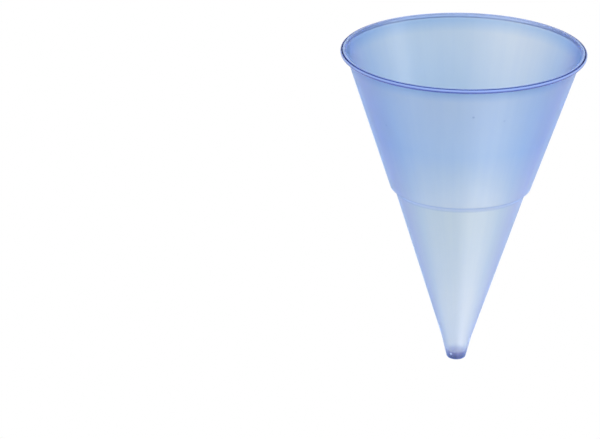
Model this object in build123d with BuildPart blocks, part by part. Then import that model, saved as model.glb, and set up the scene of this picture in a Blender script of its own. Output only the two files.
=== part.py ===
# A cone-shaped drinking cup, drawn in one piece from tinted polypropylene sheet.
# The wall is one sheet: it starts at a thick closed tip, widens to a stacking shoulder, widens
# again to the mouth, and there rolls outwards and back under itself as a hollow lip.
# The cup can't stand on its tip, and it rolls when it is laid down, so it stands on its mouth.
# Z is the cup's axis: the lip rests on z = 0 and the tip points up. Lengths are in millimetres.
import os
from math import atan, atan2, cos, sin

from build123d import *

# Overall sizes
cup_height = 97.4  # from the mouth to the end of the tip
lip_radius = 36.5  # out to the outer side of the roll

# Rolled lip, oval in section
lip_height = 1.4
lip_nose = 0.8  # how far the outer end of the oval bulges out from its flat
lip_overhang = 1.55  # how far the roll stands out from the wall, halfway up the roll
lip_gap = 0.25  # left open between the rolled-in edge and the wall

# Sheet thickness, thinner where the sheet was drawn further
lip_wall = 0.35  # in the roll, and of the wall beside it
shoulder_wall = 0.25
lower_wall = 0.15  # next to the tip

# Stacking shoulder, with bends as tight as the sheet allows
shoulder_height = 42.1  # of its wide end, above the mouth
shoulder_rise = 1.5
shoulder_inset = 1.57  # how much narrower the wall is above it

# Closed tip, thick where the sheet was drawn least
tip_radius = 2.7  # outside, where its side meets the flat end
tip_length = 7.4  # the end that tapers less than the wall below it
tip_corner = 1.0  # outside radius round the flat end
tip_floor = 3.0  # thickness of the closed end
hollow_round = 1.2  # radius round the end of the hollow

# Taper, as radius lost for each length of height
upper_steepening = 0.0164  # how much more the upper wall tapers than the lower one
tip_slimming = 0.0714  # how much less the tip does

# The lower wall's taper is the one that joins the lip to the tip
roll_height = lip_height / 2
neck_radius = lip_radius - lip_overhang
upper_length = shoulder_height - roll_height
tapered_length = cup_height - roll_height - shoulder_rise
taper_left = neck_radius - tip_radius - shoulder_inset
taper_left -= upper_steepening * upper_length - tip_slimming * tip_length
lower_taper = taper_left / tapered_length
upper_taper = lower_taper + upper_steepening
tip_taper = lower_taper - tip_slimming

# Outer corners of the wall, each a radius and a height
shoulder_foot = (neck_radius - upper_length * upper_taper, shoulder_height)
shoulder_top = (shoulder_foot[0] - shoulder_inset, shoulder_height + shoulder_rise)
tip_foot = (tip_radius + tip_length * tip_taper, cup_height - tip_length)
tip_edge = (tip_radius, cup_height)

# Slopes of the wall, as angles from the axis
upper_slope = atan(upper_taper)
lower_slope = atan(lower_taper)
tip_slope = atan(tip_taper)
shoulder_slope = atan2(shoulder_inset, shoulder_rise)


def inner_corner(outer, wall, slope_below, slope_above):
    """The corner on the hollow side, square across the bend from a corner on the outside."""
    across = wall / cos((slope_above - slope_below) / 2)
    middle = (slope_above + slope_below) / 2
    return (outer[0] - across * cos(middle), outer[1] - across * sin(middle))


inner_neck = (neck_radius - lip_wall / cos(upper_slope), roll_height)
inner_foot = inner_corner(shoulder_foot, shoulder_wall, upper_slope, shoulder_slope)
inner_top = inner_corner(shoulder_top, shoulder_wall, shoulder_slope, lower_slope)
inner_bend = inner_corner(tip_foot, lower_wall, lower_slope, tip_slope)
hollow_end = cup_height - tip_floor
inner_end = (inner_bend[0] - (hollow_end - inner_bend[1]) * tip_taper, hollow_end)

# The roll: a bend that runs on from the wall, a nose at the outer side, and a cut edge
inner_taper = (inner_neck[0] - inner_foot[0]) / (inner_foot[1] - roll_height)
bend_corner = (inner_neck[0] + roll_height * inner_taper, 0)
nose_centre = (lip_radius - lip_nose, roll_height)
slot_floor = lip_wall
slot_top = lip_height - lip_wall
crease_radius = neck_radius + (roll_height - slot_floor) * upper_taper
edge_radius = neck_radius - (slot_top - roll_height) * upper_taper + lip_gap

with BuildPart() as cup:
    # Half of the cup's section, to the right of its axis
    with BuildSketch(Plane.XZ) as section:
        with BuildLine() as outline:
            # From the lip's flat round the bend, and up the hollow side to the closed end
            outer_nose = EllipticalCenterArc(nose_centre, lip_nose, roll_height, -90, arc_size=180)
            hollow = FilletPolyline(
                outer_nose @ 0,
                bend_corner,
                inner_foot,
                inner_top,
                inner_bend,
                inner_end,
                (0, hollow_end),
                radius=(roll_height, 0, shoulder_wall, 0, hollow_round),
            )
            # Through the closed tip, and down the outside to where the roll hides the wall
            Line(hollow @ 1, (0, cup_height))
            outside = FilletPolyline(
                (0, cup_height),
                tip_edge,
                tip_foot,
                shoulder_top,
                shoulder_foot,
                (crease_radius, slot_floor),
                radius=(tip_corner, 0, 0, shoulder_wall),
            )
            # Into the hollow of the roll, which narrows towards the nose, and out past its cut edge
            Polyline(
                outside @ 1,
                (lip_radius - lip_wall, roll_height),
                (edge_radius, slot_top),
                (edge_radius, lip_height),
                outer_nose @ 1,
            )
        make_face()
    revolve(axis=Axis.Z)

cup.part.label = "cup"
os.makedirs("parts", exist_ok=True)
export_step(cup.part, "parts/cup.step")
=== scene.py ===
# %% [markdown]
# # A tinted cone cup
# The real thing is a drinking cup for a water cooler: one sheet of blue polypropylene, heated and
# drawn down into a cone, with its edge rolled over into a lip. It is thin enough to see through
# and frosted enough to blur what is behind it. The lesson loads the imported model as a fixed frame,
# draws the cup again as a smooth turned shell, gives it a see-through plastic and lights it.

# %% Load the fixed frame
from math import atan, cos, pi, radians, sin, tan

import bmesh
import bpy
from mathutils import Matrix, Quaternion, Vector


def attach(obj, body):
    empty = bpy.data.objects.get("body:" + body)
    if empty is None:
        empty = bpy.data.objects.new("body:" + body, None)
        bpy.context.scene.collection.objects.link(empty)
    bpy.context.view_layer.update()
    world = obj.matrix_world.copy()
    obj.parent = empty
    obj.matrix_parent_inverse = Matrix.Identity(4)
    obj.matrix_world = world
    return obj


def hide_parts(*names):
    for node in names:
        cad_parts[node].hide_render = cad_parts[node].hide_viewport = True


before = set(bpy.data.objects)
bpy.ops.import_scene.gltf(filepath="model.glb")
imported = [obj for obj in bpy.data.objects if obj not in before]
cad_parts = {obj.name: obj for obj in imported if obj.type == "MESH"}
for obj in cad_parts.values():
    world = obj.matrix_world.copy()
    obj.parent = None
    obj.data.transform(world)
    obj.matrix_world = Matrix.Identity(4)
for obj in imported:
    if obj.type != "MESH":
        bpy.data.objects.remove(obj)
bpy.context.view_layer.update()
mm = 0.001

# %% [markdown]
# ## The camera
# The photograph shows the cup mouth up, from a little above the plane of its mouth. Here the cup
# stands on its mouth, so the same view is one from under the floor, with the camera turned over.
# The camera could be placed by eye. Instead it is worked out from four things measured in the
# photograph: where the middle of the mouth is, how wide the lip is, how flat the mouth's ellipse
# is, and how far the cup leans. A long lens from 1.5 m away keeps the sides as straight as there.

# %% Place the camera
photo_width = 600  # pixels
photo_height = 439
mouth_x = 463.80  # pixels from the left, of the middle of the mouth
mouth_y = 52.62  # pixels from the top
pixels_per_mm = 3.3858  # at the mouth
sight_angle = radians(18.43)  # between the line of sight and the plane of the mouth
lean = radians(1.446)  # how far the cup leans to the left in the picture
camera_distance = 1.5  # metres
roll_height = 0.7 * mm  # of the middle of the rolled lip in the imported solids

mouth_centre = Vector((0, 0, roll_height))
line_of_sight = Vector((0, cos(sight_angle), sin(sight_angle)))
focal_pixels = pixels_per_mm / mm * camera_distance
towards_mouth = Vector((
    mouth_x - photo_width / 2,
    photo_height / 2 - mouth_y,
    -focal_pixels,
))

camera = bpy.data.objects.new("camera", bpy.data.cameras.new("camera"))
bpy.context.scene.collection.objects.link(camera)
camera.data.sensor_width = 36  # mm, as a full-frame camera has
camera.data.lens = focal_pixels / photo_width * camera.data.sensor_width
camera.location = mouth_centre - line_of_sight * camera_distance
camera.rotation_mode = "QUATERNION"
upside_down = Quaternion(line_of_sight, pi - lean) @ line_of_sight.to_track_quat("-Z", "Y")
off_centre = towards_mouth.rotation_difference(Vector((0, 0, -1)))
camera.rotation_quaternion = upside_down @ off_centre
bpy.context.scene.camera = camera
print("lens, mm:", round(camera.data.lens, 1))

# %% [markdown]
# ## The cup's section
# Cut through its axis, the cup is a long thin wall with three places that a maker would draw with
# care: the lip, rolled out and back under itself, the shoulder that keeps stacked cups from
# wedging, and the tip, where the sheet was never drawn and stays a solid plug. A cone primitive
# pushed into shape would lose all three. A section with few corners, each one rounded as much as
# the sheet allows, keeps them, and it can still be read as a drawing. Z runs up the axis from the
# mouth, which stands on the floor, to the tip.
#
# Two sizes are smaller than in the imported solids, because they look smaller in the photograph. The
# two dark lines on the lip are closer together there than on a roll 1.4 mm high, and the dark part
# of the tip is shorter than a plug 3 mm deep. Both changes lie inside the same outline.

# %% Sizes of the section
cup_height = 97.4 * mm
lip_radius = 36.5 * mm
lip_height = 1.24 * mm  # of the roll, from the mouth to its cut edge
lip_overhang = 1.55 * mm  # of the roll, past the wall
lip_gap = 0.25 * mm  # between the cut edge and the wall
lip_wall = 0.35 * mm  # in the roll, and of the wall beside it
shoulder_wall = 0.25 * mm
lower_wall = 0.15 * mm  # next to the tip
shoulder_height = 42.1 * mm
shoulder_rise = 1.5 * mm
shoulder_inset = 1.57 * mm
tip_radius = 2.7 * mm
tip_length = 7.4 * mm
tip_corner = 1.0 * mm
tip_floor = 2.3 * mm  # depth of the solid plug
hollow_round = 1.2 * mm  # at the end of the hollow side
upper_taper = 0.33709  # radius lost for each length of height, from the lip to the shoulder
lower_taper = 0.32069  # from the shoulder to the tip
tip_taper = 0.24929

neck_radius = lip_radius - lip_overhang
shoulder_foot = (neck_radius - (shoulder_height - roll_height) * upper_taper, shoulder_height)
shoulder_top = (shoulder_foot[0] - shoulder_inset, shoulder_height + shoulder_rise)
tip_foot = (tip_radius + tip_length * tip_taper, cup_height - tip_length)
hollow_end = cup_height - tip_floor
bends = (shoulder_foot, shoulder_top, tip_foot)
print("shoulder and tip radii, mm:", [round(radius / mm, 2) for radius, height in bends])

# %% [markdown]
# ## Rounding a corner
# A drawn sheet has no sharp bends. Bevelling a corner of a wire rounds it, and the bevel asks how
# far back along the two edges it should start. A maker thinks in radii, so this helper turns the
# one into the other: the way back is the radius divided by the tangent of half the corner's angle.

# %% A helper that rounds a corner of the section
def round_corner(section, corner, radius, segments):
    """Round one corner of a wire to a radius."""
    first, second = (edge.other_vert(corner).co - corner.co for edge in corner.link_edges)
    way_back = radius / tan(first.angle(second) / 2)
    bmesh.ops.bevel(
        section,
        geom=[corner],
        offset=way_back,
        offset_type="OFFSET",
        segments=segments,
        profile=0.5,
        affect="VERTICES",
        material=-1,
    )


# %% [markdown]
# ## Drawing the section
# The wire goes up the hollow side of the wall, across the closed end, through the plug, down the
# outside into the roll, along the slot that the roll closes over, and round the nose to the mouth
# again. Each corner stands with the radius that rounds it and the number of pieces in its curve.

# %% The corners, each with its radius and the segments of its curve
def inner_corner(outer, wall, slope_below, slope_above):
    """The corner on the hollow side, square across the bend from a corner on the outside."""
    across = wall / cos((slope_above - slope_below) / 2)
    middle = (slope_above + slope_below) / 2
    return (outer[0] - across * cos(middle), outer[1] - across * sin(middle))


upper_slope = atan(upper_taper)
lower_slope = atan(lower_taper)
tip_slope = atan(tip_taper)
shoulder_slope = atan(shoulder_inset / shoulder_rise)
inner_neck = (neck_radius - lip_wall / cos(upper_slope), roll_height)
inner_foot = inner_corner(shoulder_foot, shoulder_wall, upper_slope, shoulder_slope)
inner_top = inner_corner(shoulder_top, shoulder_wall, shoulder_slope, lower_slope)
inner_bend = inner_corner(tip_foot, lower_wall, lower_slope, tip_slope)
inner_end = (inner_bend[0] - (hollow_end - inner_bend[1]) * tip_taper, hollow_end)
inner_taper = (inner_neck[0] - inner_foot[0]) / (inner_foot[1] - roll_height)
inner_mouth = (inner_neck[0] + roll_height * inner_taper, 0)
slot_top = lip_height - lip_wall
crease = (neck_radius + (roll_height - lip_wall) * upper_taper, lip_wall)
edge_radius = neck_radius - (slot_top - roll_height) * upper_taper + lip_gap
sharp_bend = 0.06 * mm  # of a cut edge, and of the hollow side of a bend
gentle_bend = 3 * mm  # where the tip begins
slot_bend = 0.26 * mm  # of the hollow inside the roll

corners = [
    (inner_mouth, roll_height, 10),
    (inner_foot, sharp_bend, 2),
    (inner_top, shoulder_wall, 4),
    (inner_bend, gentle_bend, 4),
    (inner_end, hollow_round, 10),
    ((0, hollow_end), 0, 0),
    ((0, cup_height), 0, 0),
    ((tip_radius, cup_height), tip_corner, 10),
    (tip_foot, gentle_bend, 4),
    (shoulder_top, sharp_bend, 2),
    (shoulder_foot, shoulder_wall, 4),
    (crease, 0, 0),
    ((lip_radius - lip_wall, lip_wall), slot_bend, 6),
    ((lip_radius - lip_wall, slot_top), slot_bend, 6),
    ((edge_radius, slot_top), sharp_bend, 2),
    ((edge_radius, lip_height), sharp_bend, 2),
    ((lip_radius, lip_height), lip_height / 2, 12),
    ((lip_radius, 0), lip_height / 2, 12),
]

shell = bmesh.new()
points = [shell.verts.new((radius, 0, height)) for (radius, height), bend, pieces in corners]
for start, end in zip(points, points[1:] + points[:1]):
    shell.edges.new((start, end))
for point, (spot, bend, pieces) in zip(points, corners):
    if bend:
        round_corner(shell, point, bend, pieces)
print("points in the section:", len(shell.verts))

# %% [markdown]
# ## Turning the shell
# A cup like this is round because its mould was turned on a lathe, and spin does the same to the
# section. The edge that lies on the axis is taken out first, or it would turn into faces with no
# width. The two ends on the axis are copied at every step of the turn, so doubles are merged, and
# only then are the faces told which way is out.

# %% Spin the section round the axis
turns = 256  # steps in a full turn, so that the outline shows no corners
nearly_nothing = 1e-7  # metres, under which two points are one
on_axis = [edge for edge in shell.edges if all(v.co.x < nearly_nothing for v in edge.verts)]
bmesh.ops.delete(shell, geom=on_axis, context="EDGES")
bmesh.ops.spin(
    shell,
    geom=shell.verts[:] + shell.edges[:],
    cent=(0, 0, 0),
    axis=(0, 0, 1),
    angle=2 * pi,
    steps=turns,
    use_merge=True,
)
bmesh.ops.remove_doubles(shell, verts=shell.verts[:], dist=nearly_nothing)
bmesh.ops.recalc_face_normals(shell, faces=shell.faces[:])
for face in shell.faces:
    face.smooth = True
open_edges = [edge for edge in shell.edges if not edge.is_manifold]
volume = shell.calc_volume(signed=True)
print("faces:", len(shell.faces), "open edges:", len(open_edges))
print("plastic in the shell, cubic cm:", round(volume / (10 * mm) ** 3, 3))

# %% [markdown]
# ## The shell takes the cup's place
# The imported cup is fit for measuring, but its facets would show in see-through plastic, and its
# roll is hollow only as a wedge. It could be given the material as it is. The smooth shell has the
# same outside and stands for it instead: the frame hides the imported node, and lets the shell move
# with the same body. The shell gets its own material further on.

# %% Make the shell a piece of the frame
sharp_bend_angle = radians(35)  # only the cut edge and the crease under the roll bend by more
cup_mesh = bpy.data.meshes.new("cup_shell")
shell.to_mesh(cup_mesh)
shell.free()
cup_mesh.set_sharp_from_angle(angle=sharp_bend_angle)
cup_shell = bpy.data.objects.new("cup_shell", cup_mesh)
bpy.context.scene.collection.objects.link(cup_shell)
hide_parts("cup")
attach(cup_shell, "root")
triangles = sum(len(face.vertices) - 2 for face in cup_mesh.polygons)
print("triangles in the shell:", triangles)

# %% [markdown]
# ## Colours and nodes
# Colours are written as a designer picks them, as sRGB hex values, while Blender's shaders count
# in linear light, so one function turns the one into the other. A second function adds a node of
# any kind with its settings and its links, and a third starts a material. They keep the material
# below short enough to read. Two tints that light goes through one after the other are multiplied,
# so the settings of a mix that does so are named once.

# %% Helpers for colours and nodes
def linear(hex_colour):
    """An sRGB hex colour as Blender's linear red, green, blue and alpha."""
    shares = [int(hex_colour[start:start + 2], 16) / 255 for start in (1, 3, 5)]
    return [s / 12.92 if s <= 0.04045 else ((s + 0.055) / 1.055) ** 2.4 for s in shares] + [1.0]


def add_node(tree, kind, inputs=None, stops=(), **settings):
    """Add a node, set it up, and fill its inputs with values or with other nodes' outputs.

    A colour ramp also takes its stops, each a share from 0 to 1 and a hex colour.
    """
    node = tree.nodes.new(kind)
    for name, value in settings.items():
        setattr(node, name, value)
    if stops:
        ends = node.color_ramp.elements[:]
        for end, (share, colour) in zip(ends, (stops[0], stops[-1])):
            end.position = share
            end.color = linear(colour)
        for share, colour in stops[1:-1]:
            node.color_ramp.elements.new(share).color = linear(colour)
    for name, value in (inputs or {}).items():
        if isinstance(value, bpy.types.NodeSocket):
            tree.links.new(value, node.inputs[name])
        else:
            node.inputs[name].default_value = value
    return node


def new_material(name):
    """An empty material, its node tree and its output node."""
    material = bpy.data.materials.new(name)
    material.use_nodes = True
    material.node_tree.nodes.clear()
    output = add_node(material.node_tree, "ShaderNodeOutputMaterial")
    return material, material.node_tree, output


# A mix that multiplies: socket 0 says how much, and 6 and 7 are the two colours.
multiplied = {"data_type": "RGBA", "blend_type": "MULTIPLY"}
print("mid grey as linear light:", round(linear("#808080")[0], 3))

# %% [markdown]
# ## Ramps
# Most of what changes over the cup changes along its axis or round it: the sheet is thick and deep
# in colour at the lip, thin and pale near the tip, and a little uneven from one side to the other.
# A colour ramp fits that well, because its stops can be read off the photograph one by one. One
# ramp counts millimetres up the axis, one counts degrees round it, and one, which the rolled lip
# needs, counts millimetres out from it.

# %% Helpers for ramps
def by_height(tree, place, stops):
    """A ramp up the cup's axis, with stops of millimetres from the mouth and a colour each."""
    split = add_node(tree, "ShaderNodeSeparateXYZ", {0: place})
    share = add_node(
        tree,
        "ShaderNodeMapRange",
        {"Value": split.outputs["Z"], "From Min": 0, "From Max": cup_height},
    )
    shares = [(height * mm / cup_height, colour) for height, colour in stops]
    ramp = add_node(tree, "ShaderNodeValToRGB", {0: share.outputs[0]}, stops=shares)
    return ramp.outputs["Color"]


def by_turn(tree, place, stops):
    """A ramp round the cup's axis, with stops of degrees from -180 to 180 and a colour each."""
    split = add_node(tree, "ShaderNodeSeparateXYZ", {0: place})
    turn = add_node(
        tree,
        "ShaderNodeMath",
        {0: split.outputs["Y"], 1: split.outputs["X"]},
        operation="ARCTAN2",
    )
    share = add_node(
        tree,
        "ShaderNodeMapRange",
        {"Value": turn.outputs[0], "From Min": -pi, "From Max": pi},
    )
    shares = [(turned / 360 + 0.5, colour) for turned, colour in stops]
    ramp = add_node(tree, "ShaderNodeValToRGB", {0: share.outputs[0]}, stops=shares)
    return ramp.outputs["Color"]


def by_reach(tree, place, stops):
    """A ramp out from the cup's axis, with stops of millimetres from it and a colour each."""
    across = add_node(
        tree,
        "ShaderNodeVectorMath",
        {0: place, 1: (1, 1, 0)},
        operation="MULTIPLY",
    )
    reach = add_node(tree, "ShaderNodeVectorMath", {0: across.outputs[0]}, operation="LENGTH")
    share = add_node(
        tree,
        "ShaderNodeMapRange",
        {"Value": reach.outputs["Value"], "From Min": 0, "From Max": lip_radius},
    )
    shares = [(reach_mm * mm / lip_radius, colour) for reach_mm, colour in stops]
    ramp = add_node(tree, "ShaderNodeValToRGB", {0: share.outputs[0]}, stops=shares)
    return ramp.outputs["Color"]


print("the shoulder on a ramp up the axis:", round(shoulder_height / cup_height, 3))

# %% [markdown]
# ## The tint of the sheet
# The maker starts from a flat blue sheet. Where it is drawn out most, it is thinnest and palest, so
# the tint fades from the lip towards the tip. The two bends of the shoulder show as thin darker
# lines, and the plug in the tip, which was never drawn, is the darkest part. A second ramp darkens
# the tint a little round the cup, on the side away from the key light: that is painted shade, not
# the sheet's own colour. The sheet's own colour could be left to the body of the plastic and its
# thickness, but the sheet is so thin that a small error in its thickness would change the colour a
# lot. Colour ramps say it more safely.

# %% Tint the sheet by height and by turn
plastic, tree, output = new_material("drawn_frosted_polypropylene")
place = add_node(tree, "ShaderNodeTexCoord").outputs["Object"]
stretch = by_height(tree, place, (
    (0.3, "#f0f6ff"),  # the mouth
    (1.6, "#c7deee"),
    (5.0, "#ecf2f0"),
    (24.0, "#ddedf6"),
    (41.9, "#fffff9"),
    (42.0, "#cbdae7"),  # the shoulder's lower bend
    (42.2, "#cbdae7"),
    (42.3, "#fffff9"),
    (43.4, "#fffff9"),
    (43.5, "#cbdae7"),  # its upper bend
    (43.7, "#cbdae7"),
    (43.8, "#fffff3"),
    (94.6, "#fffffc"),
    (95.6, "#c4d4ea"),  # the plug begins
    (96.6, "#8999c4"),
))
# Painted shade: the tint is darker on the side of the cup away from the key light.
painted_side_shade = by_turn(tree, place, (
    (-180, "#fefeff"),
    (-150, "#ffffff"),
    (-120, "#ffffff"),
    (-90, "#f8fafd"),
    (-60, "#ffffff"),
    (-30, "#f3f7fb"),
    (0, "#fafcfd"),
    (30, "#e6eff8"),
    (60, "#ddeaf5"),
    (90, "#e4eef7"),
    (120, "#ffffff"),
    (150, "#f7fafd"),
    (180, "#fefeff"),
))
tints = {0: 1.0, 6: stretch, 7: painted_side_shade}
sheet_colour_and_shade = add_node(tree, "ShaderNodeMix", tints, **multiplied).outputs[2]
print("nodes so far:", len(tree.nodes))

# %% [markdown]
# ## Clouds and streaks
# Close up the plastic isn't even. It is a little cloudy in patches about 20 mm wide, and faint
# streaks run along it where the sheet was pulled, about 2 mm wide at the lip and long. Both could
# be painted on, but a noise gives them without a repeat. The clouds are a noise in space. The
# streaks are a noise of the direction out from the axis, which hardly changes with height, so that
# they run from lip to tip and grow narrower on the way, as the sheet does.

# %% Add clouds and streaks
cloud_width = 22.2 * mm
clouds = add_node(
    tree,
    "ShaderNodeTexNoise",
    {"Vector": place, "Scale": 1 / cloud_width, "Detail": 3},
)
streak_width = 2.28 * mm  # at the lip
streak_length = 31.2 * mm
flat = add_node(tree, "ShaderNodeVectorMath", {0: place, 1: (1, 1, 0)}, operation="MULTIPLY")
outwards = add_node(tree, "ShaderNodeVectorMath", {0: flat.outputs[0]}, operation="NORMALIZE")
streaks_round = lip_radius / streak_width  # for each radian of turn
along = add_node(
    tree,
    "ShaderNodeVectorMath",
    {0: place, 1: (0, 0, 1 / streak_length / streaks_round), 2: outwards.outputs[0]},
    operation="MULTIPLY_ADD",
)
streaks = add_node(
    tree,
    "ShaderNodeTexNoise",
    {"Vector": along.outputs[0], "Scale": streaks_round, "Detail": 2},
)
for noise, deepest in ((clouds, "#fafcfe"), (streaks, "#fbfcfe")):
    stops = ((0.35, deepest), (0.65, "#ffffff"))  # most of a noise lies between these two shares
    faint = add_node(tree, "ShaderNodeValToRGB", {0: noise.outputs[0]}, stops=stops)
    tints = {0: 1.0, 6: sheet_colour_and_shade, 7: faint.outputs["Color"]}
    sheet_colour_and_shade = add_node(tree, "ShaderNodeMix", tints, **multiplied).outputs[2]
print("clouds and streaks, mm wide:", round(cloud_width / mm, 1), round(streak_width / mm, 1))

# %% [markdown]
# ## Specks
# The photograph shows three specks of pigment that was not mixed in well. A noise would put specks
# anywhere. Here the sheet is darker where a point on it is near a given place, so each speck lies
# where the photograph has it. The same helper places the painted highlight on the tip further on.

# %% Add the specks
spot_core = 0.2 * mm  # a spot is full this far from its middle
spot_edge = 0.5 * mm  # and gone this far from it


def near_spot(tree, place, middle, strength):
    """How much of a small round spot a point has, from its middle in millimetres."""
    distance = add_node(
        tree,
        "ShaderNodeVectorMath",
        {0: place, 1: [side * mm for side in middle]},
        operation="DISTANCE",
    )
    fade = {"From Min": spot_core, "From Max": spot_edge, "To Min": strength, "To Max": 0}
    near = add_node(
        tree,
        "ShaderNodeMapRange",
        {"Value": distance.outputs["Value"], **fade},
    )
    return near.outputs[0]


specks = (
    ((-3.3, -31.7, 9.9), 0.55),
    ((22.1, -19.4, 17.3), 0.25),
    ((-12.3, -28.7, 11.8), 0.25),
)
for middle, strength in specks:
    tints = {0: near_spot(tree, place, middle, strength), 6: sheet_colour_and_shade, 7: linear("#9aaac2")}
    sheet_colour_and_shade = add_node(tree, "ShaderNodeMix", tints, **multiplied).outputs[2]
print("specks:", len(specks))

# %% [markdown]
# ## The frosted wall
# Polypropylene is slightly milky, and drawn over a blasted mould it comes out frosted. The grain of
# the blasting, some 0.05 mm, is far finer than a pixel, so roughness stands for it and not bumps.
# Seen at a slant, light has a longer way through the sheet, so the sides of the cup are a deeper
# blue. That fades towards the tip, where the sheet is thinnest, and the shoulder's ledge is too
# short for it. A principled shader gives most of the light a rough way through and scatters the
# rest. Polypropylene's index is 1.49, but each surface of the sheet would bend the light with it,
# and what is behind the cup would show twice. A low index with a clear coat keeps both the soft
# view through and the gloss. A blue sheen stands for the light that the milky sheet scatters back
# at a slant.

# %% Deepen the tint where the wall is seen at a slant
slant = add_node(tree, "ShaderNodeLayerWeight", {"Blend": 0.5}).outputs["Facing"]
slant_stops = (
    (0.2, "#ffffff"),
    (0.45, "#eff7ff"),
    (0.7, "#f4edfd"),
    (0.95, "#ffffe8"),
)
slanted = add_node(tree, "ShaderNodeValToRGB", {0: slant}, stops=slant_stops).outputs["Color"]
slant_share = by_height(tree, place, (
    (42.0, "#ffffff"),
    (42.2, "#000000"),  # the shoulder's ledge
    (43.5, "#000000"),
    (43.7, "#ffffff"),
    (95.0, "#989898"),
))
tints = {0: slant_share, 6: sheet_colour_and_shade, 7: slanted}
wall_tint_and_shade = add_node(tree, "ShaderNodeMix", tints, **multiplied).outputs[2]
print("nodes so far:", len(tree.nodes))

# %% Make the frosted surface
# The roughness goes with the clouds, from the clearest patch to the milkiest.
frost = add_node(
    tree,
    "ShaderNodeMapRange",
    {
        "Value": clouds.outputs[0],
        "From Min": 0.3,
        "From Max": 0.7,
        "To Min": 0.40,
        "To Max": 0.46,
    },
)
frosted = add_node(
    tree,
    "ShaderNodeBsdfPrincipled",
    {
        "Base Color": wall_tint_and_shade,
        "Roughness": frost.outputs[0],
        "IOR": 1.104,
        "Transmission Weight": 0.836,
        "Coat Weight": 0.55,
        "Coat Roughness": 0.3,
        "Sheen Weight": 0.64,
        "Sheen Roughness": 0.48,
        "Sheen Tint": linear("#88b9ff"),
    },
)
see_through = frosted.inputs["Transmission Weight"].default_value
print("share of the light that the frosted wall lets through:", round(see_through, 3))

# %% [markdown]
# ## The lines of the rolled lip
# The lip is rolled over hot, against a smooth tool. Each bend of the roll catches the light and
# leads it away inside the sheet, so it shows as a thin dark blue line, and between the two lines the
# roll is a light, milky blue. So small a roll would take very many light paths to come out clean, so
# ramps paint these lines as painted shade: one up the axis and one out from it. The lines look paler
# on the far side of the cup, and a ramp round the axis paints them so. The glossy tip takes its tint
# from the same two ramps, so they don't end at the lip. There the darker plug is the sheet's own
# tint.

# %% Draw the lines of the lip
# Painted shade: the dark lines of the lip's bends, and the plug's own darker tint.
low_line = by_height(tree, place, (
    (0.68, "#ffffff"),
    (0.8, "#0830a0"),
    (1.2, "#0830a0"),
    (1.24, "#ffffff"),
    (95.0, "#ffffff"),
    (96.8, "#8999c4"),  # the plug
))
high_line = by_reach(tree, place, (
    (10.0, "#ffffff"),  # wider than the tip
    (33.0, "#c0d8ff"),
    (35.73, "#c0d8ff"),
    (35.85, "#2048a4"),
    (36.15, "#2048a4"),
    (36.25, "#a8c4ff"),
))
# Fades the painted shade lines on the far side of the cup.
near_side = by_turn(tree, place, (
    (-180, "#ffffff"),
    (15, "#ffffff"),
    (60, "#303030"),
    (120, "#303030"),
    (165, "#ffffff"),
    (180, "#ffffff"),
))
clearness = by_reach(tree, place, (
    (35.7, "#b3b3b3"),
    (35.85, "#fafafa"),
    (36.15, "#fafafa"),
    (36.3, "#acacac"),
))
tints = {0: 1.0, 6: low_line, 7: high_line}
lines = add_node(tree, "ShaderNodeMix", tints, **multiplied).outputs[2]
tints = {0: near_side, 6: linear("#ffffff"), 7: lines}
painted_lip_shade_and_plug_tint = add_node(tree, "ShaderNodeMix", tints, **multiplied).outputs[2]
shares = {0: near_side, 6: linear("#ffffff"), 7: clearness}
lip_clearness = add_node(tree, "ShaderNodeMix", shares, **multiplied).outputs[2]
print("nodes so far:", len(tree.nodes))

# %% [markdown]
# ## The glossy lip and tip
# Where the sheet touched no blasted mould, on the outside of the roll and on the plug in the tip, it
# is smooth and glossy. It could be the frosted shader with another roughness, but the roll also
# carries the painted shade lines and lets more light through at some of them. So it gets a second
# principled shader, with little roughness and a clear coat.

# %% Make the glossy surface
gloss = add_node(
    tree,
    "ShaderNodeBsdfPrincipled",
    {
        "Base Color": painted_lip_shade_and_plug_tint,
        "Roughness": 0.10,
        "IOR": 1.1,
        "Transmission Weight": lip_clearness,
        "Coat Weight": 0.6,
    },
)
print("nodes so far:", len(tree.nodes))

# %% [markdown]
# ## One plastic with two surfaces
# The cup could have two materials, but its shell is closed and light is absorbed inside it, and a
# ray has to leave the body that it entered. So there is one material. Its two surfaces are mixed:
# glossy at the lip and at the tip, frosted in between and on the hollow side of the lip, where the
# mould was. Height alone doesn't tell the two sides of the lip apart, so the distance from the axis
# helps.

# %% Mix the two surfaces
blasted = by_height(tree, place, (
    (1.4, "#000000"),
    (2.0, "#ffffff"),
    (95.0, "#ffffff"),
    (96.0, "#bbbbbb"),
))
inner_side = by_reach(tree, place, (
    (35.0, "#ffffff"),
    (35.4, "#000000"),
))
rough_side = add_node(tree, "ShaderNodeMath", {0: blasted, 1: inner_side}, operation="MAXIMUM")
both = add_node(
    tree,
    "ShaderNodeMixShader",
    {0: rough_side.outputs[0], 1: gloss.outputs[0], 2: frosted.outputs[0]},
)
print("nodes so far:", len(tree.nodes))

# %% [markdown]
# ## A painted highlight on the plug, and the body of the plastic
# One pale dot on the plug is a painted highlight. A pale spot in the surface, about 0.7 mm wide,
# stands for a lamp's glint on the glossy tip and costs far fewer light paths. The surfaces share one
# body, in which light is absorbed for each metre that it travels. That is what makes thick places
# dark, the plug most of all.

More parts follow.
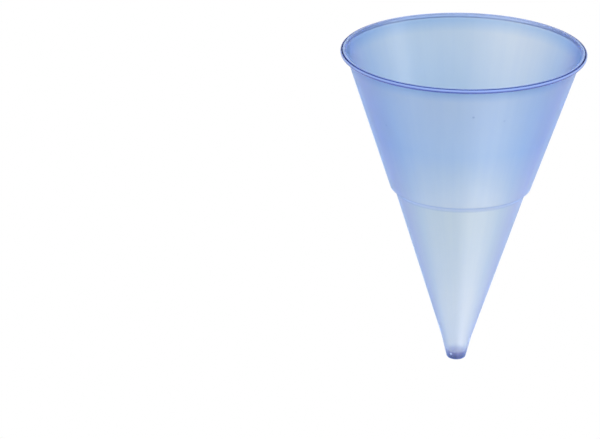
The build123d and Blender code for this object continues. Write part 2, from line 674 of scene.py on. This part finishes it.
# %% Add the painted highlight and fill the body
# A pale, matt surface for the painted highlight on the tip.
painted_tip_highlight = add_node(
    tree,
    "ShaderNodeBsdfPrincipled",
    {"Base Color": linear("#b4caee"), "Roughness": 0.3},
)
tip_highlight_middle = (1.5, -2.75, 95.3)
tip_highlight_share = near_spot(tree, place, tip_highlight_middle, 0.7)
whole = add_node(
    tree,
    "ShaderNodeMixShader",
    {0: tip_highlight_share, 1: both.outputs[0], 2: painted_tip_highlight.outputs[0]},
)
absorbed = 5000  # for each metre, of what the body's colour lacks from white
body = add_node(
    tree,
    "ShaderNodeVolumeAbsorption",
    {"Color": linear("#edf2fc"), "Density": absorbed},
)
tree.links.new(whole.outputs[0], output.inputs["Surface"])
tree.links.new(body.outputs[0], output.inputs["Volume"])
cup_mesh.materials.append(plastic)
print("nodes in the plastic:", len(tree.nodes))

# %% [markdown]
# ## The floor
# The cup stands on a plain pale floor, which takes its shadow. The photograph's view comes from the
# mouth's side, which is under the floor here. The floor could be left out, but then the cup would
# float in every other view. So its paper is matt white from above and clear from below. The lamps
# shine through it, because the photograph's light comes from that side too.

# %% Make the floor
floor_drop = 0.2 * mm  # below the lip, so that the two faces don't lie in each other
floor_reach = 2.0  # metres from the middle to each side
floor_mesh = bpy.data.meshes.new("floor")
slab = bmesh.new()
bmesh.ops.create_grid(slab, x_segments=1, y_segments=1, size=floor_reach)
bmesh.ops.translate(slab, verts=slab.verts[:], vec=(0, 0, -floor_drop))
slab.to_mesh(floor_mesh)
slab.free()
floor = bpy.data.objects.new("floor", floor_mesh)
bpy.context.scene.collection.objects.link(floor)
floor.visible_shadow = False  # so the lamps under it reach the cup
floor.visible_diffuse = False  # and it throws no light back onto the cup

paper, tree, output = new_material("matt_white_studio_paper")
underside = add_node(tree, "ShaderNodeNewGeometry").outputs["Backfacing"]
matt = add_node(tree, "ShaderNodeBsdfDiffuse", {"Color": linear("#f2f2f0")})
clear = add_node(tree, "ShaderNodeBsdfTransparent")
choice = add_node(
    tree,
    "ShaderNodeMixShader",
    {0: underside, 1: matt.outputs[0], 2: clear.outputs[0]},
)
tree.links.new(choice.outputs[0], output.inputs["Surface"])
floor_mesh.materials.append(paper)
print("floor, mm below the lip:", round(floor_drop / mm, 1))

# %% [markdown]
# ## The white surroundings
# The photograph has a pure white background and soft light from all round. Walls of paper could
# give both, but a white world does it without a corner or a shadow, and see-through plastic shows
# it behind the cup. Its strength stays at 1, where white is just white, and any more light has to
# come from lamps. The view transform is Standard, which shows a colour about as it is written.

# %% Make the world
world = bpy.data.worlds.new("studio")
bpy.context.scene.world = world
world.use_nodes = True
world.node_tree.nodes.clear()
tree = world.node_tree
white = add_node(tree, "ShaderNodeBackground", {"Color": linear("#ffffff"), "Strength": 1.0})
add_node(tree, "ShaderNodeOutputWorld", {"Surface": white.outputs[0]})
bpy.context.scene.view_settings.view_transform = "Standard"
print("strength of the world:", white.inputs["Strength"].default_value)

# %% [markdown]
# ## The lamps
# Four large soft lamps shape the cup. One stands high on the picture's right, where the lip shows
# its highlights. The highlight on the tip is painted. A wide one on the left brightens the right
# part of the hollow side, which mirrors it. A weak one comes from behind, and one from below
# brightens the lower cone. They are placed as they are seen in the picture, by degrees to the right
# and up, which is easier to match to a photograph than coordinates.

# %% Place the lamps
lamp_distance = 1.0  # metres
lamps_centre = Vector((0, 0, 40 * mm))  # the point that the lamps stand round
cup_middle = Vector((0, 0, cup_height / 2))


def softbox(name, sideways, upwards, size, power):
    """A square lamp, seen at degrees to the picture's right and up, that faces the cup."""
    across = radians(sideways)
    up = radians(upwards)
    direction = Vector((-sin(across) * cos(up), -cos(across) * cos(up), -sin(up)))
    lamp = bpy.data.objects.new(name, bpy.data.lights.new(name, "AREA"))
    bpy.context.scene.collection.objects.link(lamp)
    lamp.data.size = size
    lamp.data.energy = power
    lamp.location = direction * lamp_distance + lamps_centre
    lamp.rotation_mode = "QUATERNION"
    lamp.rotation_quaternion = (cup_middle - lamp.location).to_track_quat("-Z", "Y")
    lamp.visible_camera = False


# Each has a name, degrees to the picture's right and up, a side in metres and a power in watts.
lamps = (
    ("key_light", 76, 30, 0.35, 4.0),
    ("left_front_light", -35, 20, 0.8, 3.53),
    ("back_light", 160, -30, 0.6, 0.15),
    ("low_light", 35, -50, 0.6, 1.83),
)
for lamp in lamps:
    softbox(*lamp)
print("lamps:", [lamp[0] for lamp in lamps])
